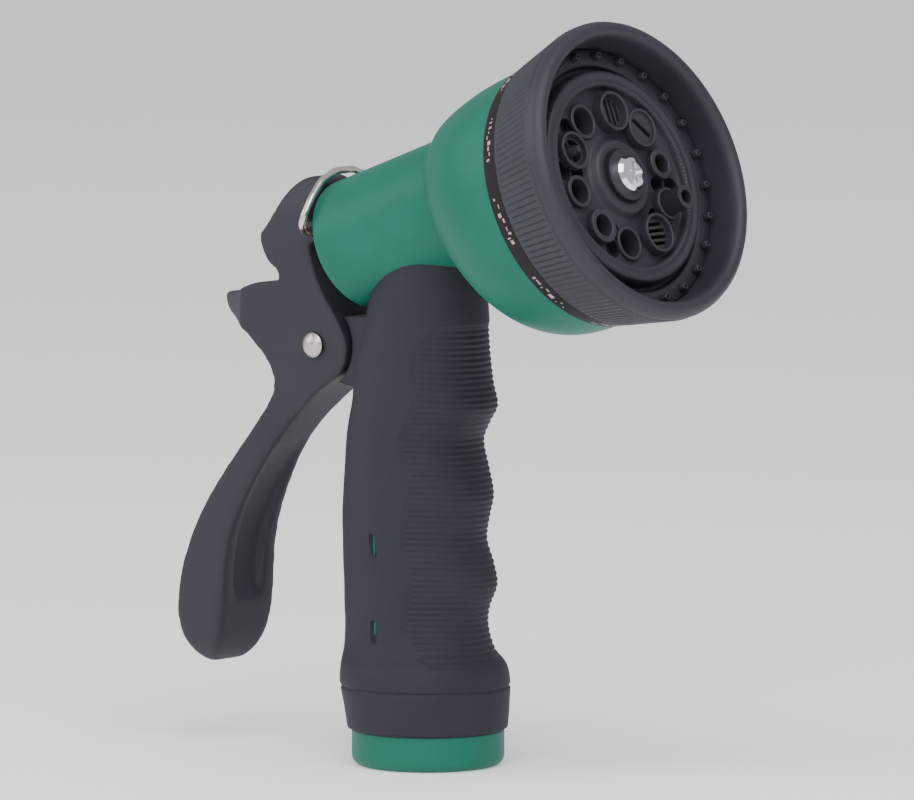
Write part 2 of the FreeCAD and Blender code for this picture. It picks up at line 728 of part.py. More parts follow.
def outlet_bore(index):
    return (3.7, 3.6, 2.0, 2.6, 3.7, 3.0, 2.4, 2.6, 3.4, 3.0)[index]


def barred_insert(index, front, bar_turn):
    """Round insert for an outlet, with four slots that run up the dial or across it."""
    radius = outlet_bore(index)
    disc = rod_x(radius, face_rear, front)
    for offset in (-2.1, -0.7, 0.7, 2.1):
        reach = sqrt((radius - 0.7) ** 2 - offset ** 2)
        gap = box_between((70, offset - 0.4, -reach), (80, offset + 0.4, reach))
        gap.rotate(Vector(0, 0, 0), X_AXIS, bar_turn)
        disc = disc.cut(gap)
    y, z = outlet_place(index)
    disc.translate(Vector(0, y, z))
    return placed(disc)


def soaker_insert():
    return barred_insert(0, 75.2, 0)


def fan_insert():
    """Insert with one long slot for the flat fan."""
    y, z = outlet_place(1)
    disc = rod_x(outlet_bore(1), face_rear, 76.0, y, z)
    slot = box_between((70, -2.9, -0.55), (80, 2.9, 0.55))
    slot.rotate(Vector(0, 0, 0), X_AXIS, -45)
    slot.translate(Vector(0, y, z))
    return placed(disc.cut(slot))


def jet_tube():
    y, z = outlet_place(3)
    tube = tube_x(2.6, 1.5, face_rear, 80.8, y, z)
    return placed(tube)


def aerator_insert():
    return barred_insert(4, 75.4, 90)


def mist_insert():
    """Ring with a cone held on three spokes, for the mist."""
    y, z = outlet_place(8)
    ring = tube_x(3.4, 2.5, face_rear, 75.0, y, z)
    cone = Part.makeCone(1.9, 0.7, 3.6, Vector(73.2, y, z), X_AXIS)
    spokes = [box_between((73.2, y - 3.0, z - 0.4), (74.2, y + 3.0, z + 0.4)),
              box_between((73.2, y - 0.4, z - 3.0), (74.2, y + 0.4, z + 3.0))]
    return placed(ring.fuse([cone] + spokes))


def main():
    os.makedirs("parts", exist_ok=True)
    makers = [nozzle_body, handle_core, grip_sleeve, hose_washer, valve_seat, gland_nut, rod_o_ring,
              valve_rod, valve_poppet, poppet_washer, poppet_nut, return_spring, flow_knob, trigger_lever,
              trigger_pin, pin_clip, hold_clip, outlet_manifold, manifold_screws, manifold_o_ring,
              post_o_ring, outlet_seal, seal_spring, detent_spring, detent_ball, dial_washer,
              dial_screw, dial_back_plate, pattern_band, dial_grip_ring, spray_face, soaker_insert,
              fan_insert, jet_tube, aerator_insert, mist_insert]
    for maker in makers:
        shape = maker()
        save(maker.__name__, shape)
        print(maker.__name__, len(shape.Solids), "solids", round(shape.Volume), "mm3", shape.isValid())


main()
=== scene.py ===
import bpy
import bmesh
import json
import random
from math import cos, exp, hypot, pi, radians, sin, sqrt
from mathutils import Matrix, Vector

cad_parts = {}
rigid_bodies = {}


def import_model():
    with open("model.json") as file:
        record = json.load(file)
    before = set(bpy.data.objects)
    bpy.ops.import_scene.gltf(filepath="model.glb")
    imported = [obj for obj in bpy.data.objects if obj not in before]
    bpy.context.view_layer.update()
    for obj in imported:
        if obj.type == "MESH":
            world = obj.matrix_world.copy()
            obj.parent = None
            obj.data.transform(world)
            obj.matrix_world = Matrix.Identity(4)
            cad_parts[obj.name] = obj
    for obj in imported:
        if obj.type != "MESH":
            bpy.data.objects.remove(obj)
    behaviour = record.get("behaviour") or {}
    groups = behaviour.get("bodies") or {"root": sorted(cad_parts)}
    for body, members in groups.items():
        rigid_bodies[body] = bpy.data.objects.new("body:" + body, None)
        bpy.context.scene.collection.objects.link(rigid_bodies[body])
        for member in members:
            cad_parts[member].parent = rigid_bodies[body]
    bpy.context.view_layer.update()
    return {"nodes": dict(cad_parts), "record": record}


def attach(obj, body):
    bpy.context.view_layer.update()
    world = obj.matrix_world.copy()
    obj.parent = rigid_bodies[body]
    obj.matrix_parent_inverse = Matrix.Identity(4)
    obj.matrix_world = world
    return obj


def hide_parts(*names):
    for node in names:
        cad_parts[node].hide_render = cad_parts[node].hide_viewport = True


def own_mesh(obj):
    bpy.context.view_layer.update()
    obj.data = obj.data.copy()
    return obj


# Looks of the hose spray nozzle. Sizes below are in millimetres and are turned into metres by MM.
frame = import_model()
nodes = frame["nodes"]
MM = 0.001
random.seed(7)

# ---- sizes shared with the solid model ----------------------------------------------------------
BARREL_TILT = radians(20.5)
REAR_RIM = Vector((-20.0, 0, 111.2))     # centre of the barrel's rear rim
DIAL_DROP = 8.1                          # dial's axis below the barrel's
PIVOT = Vector((-25.3, 0, 89.9))         # trigger pin
EAR_REACH = 9.6                          # room for the trigger's round ears about the pin
OUTLETS = 10
OUTLET_STEP = 36.0                       # degrees from one outlet to the next
OUTLET_START = 10.0                      # degrees from the top to the first outlet
OUTLET_CIRCLE = 14.5                     # radius of the ring of outlets
DETENT_CIRCLE = 21.6                     # and of the ring of click stops

AXIS = Vector((cos(BARREL_TILT), 0, sin(BARREL_TILT)))
ACROSS = Vector((-sin(BARREL_TILT), 0, cos(BARREL_TILT)))


def barrel_point(x, y, z):
    """Point of the main frame, in metres, from barrel coordinates in millimetres."""
    return (REAR_RIM + AXIS * x + ACROSS * z + Vector((0, y, 0))) * MM


def dial_point(x, radius, turn):
    """Point at a turn, in radians from the top, round the dial's axis."""
    return barrel_point(x, radius * sin(turn), radius * cos(turn) - DIAL_DROP)


# ---- mesh helpers -------------------------------------------------------------------------------
def add_mesh(name, points, faces, crease=40):
    """Object from points in metres, smooth shaded except at edges sharper than the crease angle."""
    mesh = bpy.data.meshes.new(name)
    mesh.from_pydata([tuple(p) for p in points], [], faces)
    mesh.update()
    solid = bmesh.new()
    solid.from_mesh(mesh)
    bmesh.ops.recalc_face_normals(solid, faces=solid.faces)
    solid.to_mesh(mesh)
    solid.free()
    mesh.polygons.foreach_set("use_smooth", [True] * len(mesh.polygons))
    mesh.set_sharp_from_angle(angle=radians(crease))
    made = bpy.data.objects.new(name, mesh)
    bpy.context.scene.collection.objects.link(made)
    return made


def grid_faces(rows, columns, first=0, closed_rows=False):
    """Quads of a grid whose columns wrap round, and whose rows may too."""
    faces = []
    for i in range(rows if closed_rows else rows - 1):
        for j in range(columns):
            a = first + i * columns + j
            b = first + i * columns + (j + 1) % columns
            c = first + ((i + 1) % rows) * columns + (j + 1) % columns
            d = first + ((i + 1) % rows) * columns + j
            faces.append((a, b, c, d))
    return faces


def dial_lathe(profile, steps, wave=None):
    """Points and faces of a ring about the dial's axis, from a closed (x, radius) profile."""
    points = []
    for x, radius in profile:
        for k in range(steps):
            turn = 2 * pi * k / steps
            reach = radius + (wave(x, radius, turn) if wave else 0)
            points.append(dial_point(x, reach, turn))
    return points, grid_faces(len(profile), steps, closed_rows=True)


def rounded(profile, radius, steps=4):
    """Closed profile with its corners rounded off."""
    out = []
    count = len(profile)
    for i in range(count):
        here = Vector(profile[i])
        back = Vector(profile[i - 1]) - here
        ahead = Vector(profile[(i + 1) % count]) - here
        cut = min(radius, 0.45 * back.length, 0.45 * ahead.length)
        start = here + back.normalized() * cut
        end = here + ahead.normalized() * cut
        for k in range(steps + 1):
            t = k / steps
            out.append(tuple(start * (1 - t) ** 2 + here * (2 * t * (1 - t)) + end * t ** 2))
    return out


def joined(parts):
    """One list of points and faces from several."""
    points = []
    faces = []
    for more_points, more_faces in parts:
        shift = len(points)
        points += more_points
        faces += [tuple(i + shift for i in face) for face in more_faces]
    return points, faces


def spot_circles(y, z, profile, steps):
    """Circles of points about a line parallel to the dial's axis, through y, z of the dial's face."""
    points = []
    for x, radius in profile:
        for k in range(steps):
            turn = 2 * pi * k / steps
            points.append(barrel_point(x, y + radius * sin(turn), z - DIAL_DROP + radius * cos(turn)))
    return points


def spot_lathe(y, z, profile, steps):
    """Points and faces of a ring about such a line, from a closed (x, radius) profile."""
    return spot_circles(y, z, profile, steps), grid_faces(len(profile), steps, closed_rows=True)


def apply_modifiers(made):
    """Replaces the object's mesh by what its modifiers make of it."""
    fixed = made.evaluated_get(bpy.context.evaluated_depsgraph_get())
    mesh = bpy.data.meshes.new_from_object(fixed)
    made.modifiers.clear()
    made.data = mesh


def softened(node, name, voxel, passes, more_passes, weight):
    """Copy of a CAD node with its corners rounded, and rounded more where weight(height) is 1."""
    made = nodes[node].copy()
    made.data = nodes[node].data.copy()
    made.name = name
    made.parent = None
    for key in list(made.keys()):
        del made[key]
    bpy.context.scene.collection.objects.link(made)
    remesh = made.modifiers.new("Remesh", "REMESH")
    remesh.mode = "VOXEL"
    remesh.voxel_size = voxel * MM
    smooth = made.modifiers.new("Smooth", "SMOOTH")
    smooth.iterations = passes
    smooth.factor = 0.5
    apply_modifiers(made)
    group = made.vertex_groups.new(name="rounder")
    for vertex in made.data.vertices:
        height = (made.matrix_basis @ vertex.co).z / MM
        group.add([vertex.index], weight(height), "REPLACE")
    rounder = made.modifiers.new("Rounder", "SMOOTH")
    rounder.iterations = more_passes
    rounder.factor = 0.5
    rounder.vertex_group = group.name
    apply_modifiers(made)
    made.vertex_groups.clear()
    made.data.polygons.foreach_set("use_smooth", [True] * len(made.data.polygons))
    return made


# ---- materials ----------------------------------------------------------------------------------
def node_tree(name):
    """New material, with its nodes and links."""
    material = bpy.data.materials.new(name)
    material.use_nodes = True
    return material, material.node_tree.nodes, material.node_tree.links


def noise(tree_nodes, links, coordinates, scale, detail=3.0, stretch=(1, 1, 1)):
    """Noise in object space, with its scale in features per metre."""
    place = tree_nodes.new("ShaderNodeMapping")
    place.inputs["Scale"].default_value = stretch
    links.new(coordinates, place.inputs["Vector"])
    texture = tree_nodes.new("ShaderNodeTexNoise")
    texture.inputs["Scale"].default_value = scale
    texture.inputs["Detail"].default_value = detail
    links.new(place.outputs["Vector"], texture.inputs["Vector"])
    return texture.outputs["Fac"]


def ranged(tree_nodes, links, value, low, high):
    """A 0.3 to 0.7 noise value spread between low and high."""
    spread = tree_nodes.new("ShaderNodeMapRange")
    spread.inputs["From Min"].default_value = 0.3
    spread.inputs["From Max"].default_value = 0.7
    spread.inputs["To Min"].default_value = low
    spread.inputs["To Max"].default_value = high
    links.new(value, spread.inputs["Value"])
    return spread.outputs["Result"]


def surface(name, dark, light, rough, metallic=0.0, grain=3500, depth=0.012, mottling=60,
            stretch=(1, 1, 1), coat=0.0, specular=0.5):
    """Material with mottled colour, uneven roughness and a fine grain."""
    material, tree_nodes, links = node_tree(name)
    shader = tree_nodes["Principled BSDF"]
    coordinates = tree_nodes.new("ShaderNodeTexCoord").outputs["Object"]
    broad = noise(tree_nodes, links, coordinates, mottling, 4.0, stretch)
    fine = noise(tree_nodes, links, coordinates, grain, 2.0, stretch)
    mix = tree_nodes.new("ShaderNodeMix")
    mix.data_type = "RGBA"
    mix.inputs["A"].default_value = (*dark, 1)
    mix.inputs["B"].default_value = (*light, 1)
    links.new(ranged(tree_nodes, links, broad, 0, 1), mix.inputs["Factor"])
    links.new(mix.outputs["Result"], shader.inputs["Base Color"])
    blend = tree_nodes.new("ShaderNodeMath")
    blend.operation = "ADD"
    links.new(broad, blend.inputs[0])
    links.new(fine, blend.inputs[1])
    half = tree_nodes.new("ShaderNodeMath")
    half.operation = "MULTIPLY"
    half.inputs[1].default_value = 0.5
    links.new(blend.outputs["Value"], half.inputs[0])
    links.new(ranged(tree_nodes, links, half.outputs["Value"], *rough), shader.inputs["Roughness"])
    bump = tree_nodes.new("ShaderNodeBump")
    bump.inputs["Strength"].default_value = 0.5
    bump.inputs["Distance"].default_value = depth * MM
    links.new(fine, bump.inputs["Height"])
    links.new(bump.outputs["Normal"], shader.inputs["Normal"])
    shader.inputs["Metallic"].default_value = metallic
    shader.inputs["Coat Weight"].default_value = coat
    shader.inputs["Specular IOR Level"].default_value = specular
    return material


materials = {
    "green_plastic": surface("green_plastic", (0.002, 0.110, 0.070), (0.004, 0.136, 0.090), (0.42, 0.56),
                             grain=2600, depth=0.03, specular=0.25),
    "soft_black": surface("soft_black", (0.015, 0.0145, 0.023), (0.021, 0.0205, 0.031), (0.58, 0.78),
                          grain=2200, depth=0.05, specular=0.3),
    "lever_black": surface("lever_black", (0.016, 0.0155, 0.024), (0.022, 0.0215, 0.033), (0.48, 0.66),
                           grain=2400, depth=0.05, specular=0.35),
    "dial_black": surface("dial_black", (0.019, 0.018, 0.027), (0.026, 0.025, 0.037), (0.46, 0.64),
                          grain=2600, depth=0.04, specular=0.4),
    "band_black": surface("band_black", (0.007, 0.006, 0.008), (0.011, 0.009, 0.012), (0.48, 0.64),
                          grain=2600, depth=0.03, specular=0.2),
    "insert_black": surface("insert_black", (0.014, 0.013, 0.019), (0.021, 0.019, 0.027), (0.42, 0.60)),
    "white_plastic": surface("white_plastic", (0.56, 0.56, 0.53), (0.66, 0.66, 0.63), (0.38, 0.55)),
    "steel_wire": surface("steel_wire", (0.60, 0.54, 0.52), (0.74, 0.68, 0.66), (0.20, 0.34), metallic=1.0,
                          grain=5000, depth=0.006, stretch=(1, 1, 0.2)),
    "steel_pin": surface("steel_pin", (0.46, 0.42, 0.41), (0.60, 0.56, 0.54), (0.30, 0.46), metallic=1.0,
                         grain=4500, depth=0.012),
    "chrome_screw": surface("chrome_screw", (0.78, 0.78, 0.80), (0.88, 0.88, 0.90), (0.07, 0.14),
                            metallic=1.0, grain=4000, depth=0.002),
    "brass": surface("brass", (0.60, 0.42, 0.16), (0.72, 0.52, 0.22), (0.24, 0.38), metallic=1.0,
                     grain=4500, depth=0.006, stretch=(0.2, 1, 1)),
    "seal_rubber": surface("seal_rubber", (0.018, 0.018, 0.019), (0.026, 0.026, 0.028), (0.50, 0.68)),
    "print_pink": surface("print_pink", (0.28, 0.18, 0.185), (0.44, 0.30, 0.305), (0.50, 0.64), grain=6000,
                          depth=0.01, mottling=900),
}


def dress(made, slot):
    """Gives a piece its material and says which material slot of the record it belongs to."""
    made.data.materials.clear()
    made.data.materials.append(materials[slot])
    return made


def piece(made, body, slot, *stands_for):
    """Finished mesh piece: material, body to ride on, and the CAD nodes it stands for."""
    dress(made, slot)
    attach(made, body)
    if stands_for:
        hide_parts(*stands_for)
    return made


def dress_cad_nodes():
    """Carried-over CAD nodes take the material of their own slot, and are shaded smooth."""
    slots = {entry["node"]: entry["material_slot"] for entry in frame["record"]["subparts"]}
    for name, node in nodes.items():
        node.data.materials.clear()
        node.data.materials.append(materials[slots[name]])
        node.data.polygons.foreach_set("use_smooth", [True] * len(node.data.polygons))
        node.data.set_sharp_from_angle(angle=radians(28))


# ---- barrel -------------------------------------------------------------------------------------
def make_neck_bead():
    """Raised bead where the bell leaves the barrel."""
    middle, major, minor = 35.9, 14.85, 1.0
    rows, columns = 24, 160
    points = []
    for i in range(rows):
        around = 2 * pi * i / rows
        x = middle + minor * cos(around)
        radius = major + minor * sin(around)
        for k in range(columns):
            turn = 2 * pi * k / columns
            points.append(barrel_point(x, radius * sin(turn), radius * cos(turn)))
    faces = grid_faces(rows, columns, closed_rows=True)
    piece(add_mesh("neck_bead", points, faces), "body", "green_plastic")


# ---- grip sleeve --------------------------------------------------------------------------------
GRIP_SECTIONS = [                        # height, centre x, half length, half width
    (7.6, -0.1, 17.3, 17.3), (12.6, -0.35, 17.9, 17.8), (18.0, -0.85, 18.5, 18.3), (21.5, -1.2, 18.3, 17.6),
    (25.5, -2.3, 17.2, 15.2), (30.5, -3.0, 16.6, 14.2), (34.5, -2.9, 17.1, 14.0), (39.5, -1.9, 18.4, 14.0),
    (44.0, -2.5, 18.0, 14.0), (49.0, -3.5, 16.9, 14.0), (54.0, -3.2, 17.4, 14.0), (59.0, -2.5, 17.9, 14.0),
    (64.5, -2.9, 16.9, 14.0), (70.5, -3.4, 15.7, 14.0), (74.5, -2.2, 16.4, 13.9), (78.2, -0.7, 17.2, 13.8),
    (83.0, -1.0, 16.4, 13.4), (90.0, -0.8, 15.4, 12.6), (98.0, 0.0, 14.2, 11.6), (108.0, 0.8, 12.8, 10.4),
    (114.0, 1.0, 12.0, 10.0)]
CORE_RADIUS = 15.7                       # the green core where the sleeve's bottom meets it
PANEL_HALF_ANGLE = radians(67)
PANEL_BOTTOM = 22.5
PANEL_TOP = 96.0
RIDGE_PITCH = 1.25
PANEL_CORNER = 9.0
PANEL_SINK = 0.22
RIDGE_DEPTH = 0.26
SLOT_HEIGHTS = (29.5, 48.4)
SLOT_ANGLE = radians(92)
SLOT_HALF_LENGTH = 1.9                   # to where the slot's round end begins
SLOT_DEPTH = 0.8
GROOVE_HEIGHT = 17.2                     # fine groove round the collar
GROOVE_DEPTH = 0.35


def section_at(z):
    """Centre and half sizes of the grip at a height, on a smooth curve through the sections."""
    last = len(GRIP_SECTIONS) - 1
    i = max(k for k in range(last) if GRIP_SECTIONS[k][0] <= z + 1e-9)
    here, there = GRIP_SECTIONS[i], GRIP_SECTIONS[i + 1]
    before, after = GRIP_SECTIONS[max(i - 1, 0)], GRIP_SECTIONS[min(i + 2, last)]
    span = there[0] - here[0]
    t = (z - here[0]) / span
    values = []
    for k in (1, 2, 3):
        slope_here = (there[k] - before[k]) / (there[0] - before[0]) * span
        slope_there = (after[k] - here[k]) / (after[0] - here[0]) * span
        values.append((2 * t ** 3 - 3 * t ** 2 + 1) * here[k] + (t ** 3 - 2 * t ** 2 + t) * slope_here
                      + (3 * t ** 2 - 2 * t ** 3) * there[k] + (t ** 3 - t ** 2) * slope_there)
    return values


def ease(value, low, high):
    """0 below low, 1 above high, and a smooth rise between."""
    t = min(1.0, max(0.0, (value - low) / (high - low)))
    return t * t * (3 - 2 * t)


def panel_depth(z, angle):
    """How far inside the ribbed panel a point is, in millimetres; negative outside."""
    side = (PANEL_HALF_ANGLE - abs(angle)) * 15.5
    ends = min(z - PANEL_BOTTOM, PANEL_TOP - z)
    if side < PANEL_CORNER and ends < PANEL_CORNER:
        return PANEL_CORNER - hypot(PANEL_CORNER - side, PANEL_CORNER - ends)
    return min(side, ends)


def grip_offset(z, angle):
    """Depth of the moulded detail below the smooth grip, in millimetres."""
    inside = panel_depth(z, angle)
    offset = PANEL_SINK * ease(inside, -0.3, 0.3)
    ridge = 0.5 - 0.5 * cos(2 * pi * z / RIDGE_PITCH)
    offset += RIDGE_DEPTH * (1 - ridge ** 0.7) * ease(inside, 0.5, 1.3)
    for height in SLOT_HEIGHTS:
        across = (abs(angle) - SLOT_ANGLE) * 14.5
        along = max(0.0, abs(z - height) - SLOT_HALF_LENGTH)
        offset += SLOT_DEPTH * (1 - ease(hypot(across, along), 0.36, 0.7))
    offset += GROOVE_DEPTH * exp(-((z - GROOVE_HEIGHT) / 0.35) ** 2)
    offset += 0.8 * (1 - ease(z, 7.6, 8.6)) ** 2
    return offset


def beside_the_ear(x, y, z):
    """Grip's x near the trigger: hollowed round the trigger's ear, and filled out to it at the middle."""
    height = z - PIVOT.z
    if abs(height) >= EAR_REACH or x > 0:
        return x
    ear_x = PIVOT.x + sqrt(EAR_REACH ** 2 - height ** 2)
    if x < ear_x:
        return ear_x
    middle = 1 - ease(abs(y), 6.6, 8.4)
    within = ease(height, -8.6, -7.8) * (1 - ease(height, 6.4, 7.2))
    return x + (min(x, ear_x) - x) * middle * within


def barrel_underside(x, y):
    """Height of a surface inside the barrel's wall, above the grip; the grip ends there."""
    radius = 13.4
    axis_height = REAR_RIM.z + (x - REAR_RIM.x) * AXIS.z / AXIS.x
    return axis_height - sqrt(max(0.0, radius ** 2 - y ** 2)) / AXIS.x


def grip_point(section, z, angle):
    """Point of the grip's outside, in metres, at a height and an angle from the front."""
    centre, half_length, half_width = section
    cut = grip_offset(z, angle)
    x = centre + (half_length - cut) * cos(angle)
    y = (half_width - cut) * sin(angle)
    x = beside_the_ear(x, y, z)
    return Vector((x, y, min(z, barrel_underside(x, y)))) * MM


def make_grip():
    """Soft sleeve with finger waves, a panel of fine ridges, slots and a collar."""
    bottom, top = GRIP_SECTIONS[0][0], GRIP_SECTIONS[-1][0]
    step = 0.2
    rows = int((top - bottom) / step) + 1
    columns = 224
    points = []
    for i in range(rows):
        z = min(top, bottom + i * step)
        section = section_at(z)
        for k in range(columns):
            points.append(grip_point(section, z, 2 * pi * k / columns - pi))
    faces = grid_faces(rows, columns)
    top_centre = len(points)
    centre = section[0]
    points.append(Vector((centre, 0, barrel_underside(centre, 0))) * MM)
    last_row = (rows - 1) * columns
    for k in range(columns):
        faces.append((last_row + k, last_row + (k + 1) % columns, top_centre))
    inner_first = len(points)
    for k in range(columns):
        angle = 2 * pi * k / columns - pi
        points.append(Vector((CORE_RADIUS * cos(angle), CORE_RADIUS * sin(angle), bottom)) * MM)
    for k in range(columns):
        after = (k + 1) % columns
        faces.append((k, after, inner_first + after, inner_first + k))
    faces.append(tuple(inner_first + k for k in range(columns)))
    piece(add_mesh("grip_skin", points, faces), "body", "soft_black", "grip_sleeve")
    show_core_in_slots()


def show_core_in_slots():
    """Green core that shows at the bottom of the slots in the sleeve's sides."""
    core_depth = 0.74
    around = 20
    points = []
    faces = []
    for side in (-1, 1):
        for height in SLOT_HEIGHTS:
            centre, half_length, half_width = section_at(height)
            first = len(points)
            x = centre + (half_length - core_depth) * cos(SLOT_ANGLE)
            y = side * (half_width - core_depth) * sin(SLOT_ANGLE)
            for k in range(around):
                turn = 2 * pi * k / around
                rise = 0.5 * sin(turn) + (SLOT_HALF_LENGTH if sin(turn) > 0 else -SLOT_HALF_LENGTH)
                for depth in (0.0, 0.3):
                    points.append(Vector((x + 0.30 * cos(turn), y - side * depth, height + rise)) * MM)
            faces.append(tuple(first + 2 * k for k in range(around)))
            faces.append(tuple(first + 2 * k + 1 for k in range(around)))
            for k in range(around):
                a = first + 2 * k
                b = first + 2 * ((k + 1) % around)
                faces.append((a, b, b + 1, a + 1))
    piece(add_mesh("core_in_slots", points, faces), "body", "green_plastic")


# ---- springs ------------------------------------------------------------------------------------
def make_spring(node, body, radius, wire, start, end, turns, y=0.0, z=0.0):
    """Coil spring along the barrel, from start to end, riding on the given body."""
    sides = 10
    stretches = round(turns * 40)
    points = []
    for i in range(stretches + 1):
        turn = 2 * pi * turns * i / stretches
        x = start + wire + (end - start - 2 * wire) * i / stretches
        for k in range(sides):
            around = 2 * pi * k / sides
            reach = radius + wire * sin(around)
            points.append(barrel_point(x + wire * cos(around), y + reach * sin(turn), z + reach * cos(turn)))
    faces = grid_faces(stretches + 1, sides)
    faces.append(tuple(range(sides)))
    faces.append(tuple(range(stretches * sides, (stretches + 1) * sides)))
    spring = piece(add_mesh(node + "_wire", points, faces), body, "steel_wire", node)
    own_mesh(spring)


def make_springs():
    """Valve's return spring, and the spring behind the click stop's ball."""
    make_spring("return_spring", "rod", radius=4.3, wire=0.45,
                start=9.0, end=21.6, turns=4)
    opposite = radians(OUTLET_START + 180)
    make_spring("detent_spring", "detent", radius=1.2, wire=0.25,
                start=54.4, end=58.3, turns=4,
                y=DETENT_CIRCLE * sin(opposite), z=DETENT_CIRCLE * cos(opposite) - DIAL_DROP)


# ---- trigger ------------------------------------------------------------------------------------
def paddle_share(height):
    """1 on the trigger's paddle, fading to 0 at its waist."""
    return 1 - ease(height, 62, 78)


def make_trigger():
    """The lever with its moulded edges rounded, most of all on the paddle."""
    lever = softened("trigger_lever", "trigger_moulding", voxel=0.42, passes=9, more_passes=50,
                     weight=paddle_share)
    piece(lever, "trigger", "lever_black", "trigger_lever")


# ---- dial ---------------------------------------------------------------------------------------
RIBS = 140
BAND_REAR = 63.3
GRIP_REAR = 67.4
MARKS_REAR = 64.4
MARKS_FRONT = 66.4


def rib_wave(x, radius, turn):
    """Fine ribs on the dial's taper, fading at both ends of the ribbed band."""
    if radius < 29.5:
        return 0
    fade = ease(x, 67.5, 68.3) * (1 - ease(x, 78.2, 79.0))
    crest = abs(cos(RIBS * turn / 2)) ** 0.7
    return -0.30 * (1 - crest) * fade


def make_dial_ring():
    """Ribbed taper that the fingers turn, and the smooth lip in front of it."""
    taper = [(GRIP_REAR + 11.4 * k / 24, 30.4 + 2.6 * k / 24) for k in range(25)]
    lip = [(79.2, 32.75), (79.9, 33.0), (80.6, 32.95), (81.5, 32.6), (82.2, 32.0), (82.55, 31.4),
           (82.6, 30.8), (82.45, 30.2), (82.0, 29.7), (81.2, 29.3), (79.8, 29.1), (74.6, 28.95),
           (GRIP_REAR, 28.95)]
    points, faces = dial_lathe(taper + lip, RIBS * 8, rib_wave)
    piece(add_mesh("dial_ring_moulding", points, faces, 60), "dial", "dial_black", "dial_grip_ring")


def make_band():
    """Dark ring behind the ribs that carries the marks."""
    profile = rounded([(BAND_REAR, 27.0), (BAND_REAR, 29.5), (GRIP_REAR, 30.0), (GRIP_REAR, 27.0)], 0.35)
    points, faces = dial_lathe(profile, 180)
    piece(add_mesh("band_ring", points, faces), "dial", "band_black", "pattern_band")
    make_band_marks()


def band_patch(start, end, low, high):
    """Thin raised patch on the band between two turns and two places along it."""
    points = []
    steps = max(2, int((end - start) / radians(1.5)) + 1)
    for k in range(steps + 1):
        turn = start + (end - start) * k / steps
        for x in (low, high):
            radius = 29.5 + 0.5 * (x - BAND_REAR) / (GRIP_REAR - BAND_REAR)
            points.append(dial_point(x, radius - 0.05, turn))
            points.append(dial_point(x, radius + 0.07, turn))
    faces = []
    for k in range(steps):
        a = 4 * k
        b = a + 4
        for i, j in ((0, 1), (1, 3), (3, 2), (2, 0)):
            faces.append((a + i, a + j, b + j, b + i))
    faces.append((0, 1, 3, 2))
    end_first = 4 * steps
    faces.append((end_first, end_first + 1, end_first + 3, end_first + 2))
    return points, faces


def make_band_marks():
    """Small plain dashes and dots beside each outlet's place; they spell nothing."""
    patches = []
    for index in range(OUTLETS):
        centre = radians(OUTLET_START + OUTLET_STEP * index)
        turn = centre - radians(11)
        while turn < centre + radians(9):
            length = radians(random.choice((0.6, 1.0, 1.8, 2.8)))
            low = MARKS_REAR + random.choice((0, 0.4, 0.8))
            high = low + random.choice((0.3, 0.5, 0.9))
            patches.append(band_patch(turn, turn + length, low, min(high, MARKS_FRONT)))
            turn += length + radians(random.choice((0.7, 1.1, 1.8)))
    points, faces = joined(patches)
    piece(add_mesh("band_marks", points, faces), "dial", "print_pink")


def outlet_at(index):
    """y and z of an outlet from the dial's axis, counted from the top."""
    turn = radians(OUTLET_START + OUTLET_STEP * index)
    return OUTLET_CIRCLE * sin(turn), OUTLET_CIRCLE * cos(turn)


COLLARS = [                              # outer radius, bore, front
    (4.4, 3.7, 76.9), (4.3, 3.6, 76.6), (3.4, 2.0, 75.8), (3.6, 2.6, 76.1), (4.4, 3.7, 76.7),
    (3.8, 3.0, 75.1), (3.8, 2.4, 76.1), (3.6, 2.6, 75.5), (4.2, 3.4, 76.1), (3.9, 3.0, 75.1)]
BORE_BOTTOM = 70.4
POCKETS = [(12.6, 1.9, 71.6), (16.9, 2.1, 71.9)]     # circle, radius, bottom
POCKETS_AFTER = (2, 3, 5, 7, 8)          # outlets with both pockets between them and the next
NIPPLES = 24
NIPPLE_CIRCLE = 27.2
ISLAND_RIBS = 160
FACE_FLOOR = 74.3
HUB_BORE = 5.0


def island_wave(x, radius, turn):
    """Fine upright ribs on the island's rim and outer wall."""
    if not 19.9 < radius < 23.7 or x < 72.0:
        return 0
    return 0.12 * cos(ISLAND_RIBS * turn)


def pit(y, z, radius, bottom):
    """Closed cylinder that cuts a round hole in the face, from the bottom to well in front of it."""
    steps = 40
    points = spot_circles(y, z, [(bottom, radius), (79.0, radius)], steps)
    faces = grid_faces(2, steps)
    faces.append(tuple(range(steps)))
    faces.append(tuple(range(steps, 2 * steps)))
    return points, faces


def cut_away(made, cutters):
    """Takes the cutters' shapes out of a closed mesh."""
    for number, (points, faces) in enumerate(cutters):
        tool = add_mesh("cutter_%d" % number, points, faces)
        cut = made.modifiers.new("Cut", "BOOLEAN")
        cut.operation = "DIFFERENCE"
        cut.solver = "EXACT"
        cut.object = tool
    apply_modifiers(made)
    for number in range(len(cutters)):
        bpy.data.objects.remove(bpy.data.objects["cutter_%d" % number])
    made.data.set_sharp_from_angle(angle=radians(50))


